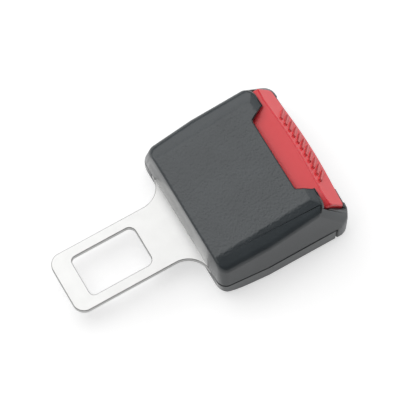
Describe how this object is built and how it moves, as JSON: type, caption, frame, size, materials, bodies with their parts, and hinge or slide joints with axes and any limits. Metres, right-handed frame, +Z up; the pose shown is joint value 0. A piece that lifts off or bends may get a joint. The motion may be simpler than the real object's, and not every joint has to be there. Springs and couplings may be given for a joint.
{
  "type": "seat belt extender",
  "caption": "Short seat belt extender: a flat steel tongue with a window at one end, a wedge-shaped buckle with a bevelled release button at the other.",
  "frame": {"origin": "middle of the length and width, at the flat underside of the housing", "axes": "+X along the length from the steel tongue to the mouth of the buckle, +Y across the width, +Z up"},
  "size_m": [0.0948, 0.056, 0.0274],
  "materials": {
    "tongue_steel": "polished",
    "frame_steel": "zinc plated",
    "spring_steel": "drawn wire",
    "shell_plastic": "fine leather grain",
    "button_plastic": "satin",
    "inner_plastic": "smooth",
    "guide_plastic": "smooth"
  },
  "bodies": {
    "housing": {"tongue_plate": "tongue_steel", "buckle_frame": "frame_steel", "frame_bridge": "frame_steel", "frame_rivets": "frame_steel", "latch_pivot_pin": "frame_steel", "pin_retaining_rings": "spring_steel", "latch_spring": "spring_steel", "ejector_guide_rods": "spring_steel", "ejector_spring_left": "spring_steel", "ejector_spring_right": "spring_steel", "button_spring_left": "spring_steel", "button_spring_right": "spring_steel", "tongue_guide": "guide_plastic", "front_shell": "shell_plastic", "rear_cover": "shell_plastic"},
    "button": {"release_button": "button_plastic", "release_slide": "inner_plastic"},
    "latch": {"latch_plate": "frame_steel", "latch_lift_pin": "frame_steel"},
    "ejector": {"ejector_slide": "inner_plastic"}
  },
  "joints": [
    {"name": "button_press", "type": "slide", "parent": "housing", "child": "button", "axis": [-1, 0, 0], "range_m": [0, 0.0045], "stiffness_N_per_m": 400, "springref_m": -0.006, "deforming": ["button_spring_left", "button_spring_right"]},
    {"name": "latch_lift", "type": "hinge", "parent": "housing", "child": "latch", "pos_m": [0.0105, 0, 0.0142], "axis": [0, -1, 0], "range_deg": [0, 10.05], "deforming": ["latch_spring"]},
    {"name": "ejector_slide_in", "type": "slide", "parent": "housing", "child": "ejector", "axis": [-1, 0, 0], "range_m": [0, 0.0095], "stiffness_N_per_m": 150, "springref_m": -0.008, "deforming": ["ejector_spring_left", "ejector_spring_right"]}
  ],
  "couplings": [
    {"joint": "latch_lift", "follows": "button_press", "rad_per_m": 38.785}
  ]
}
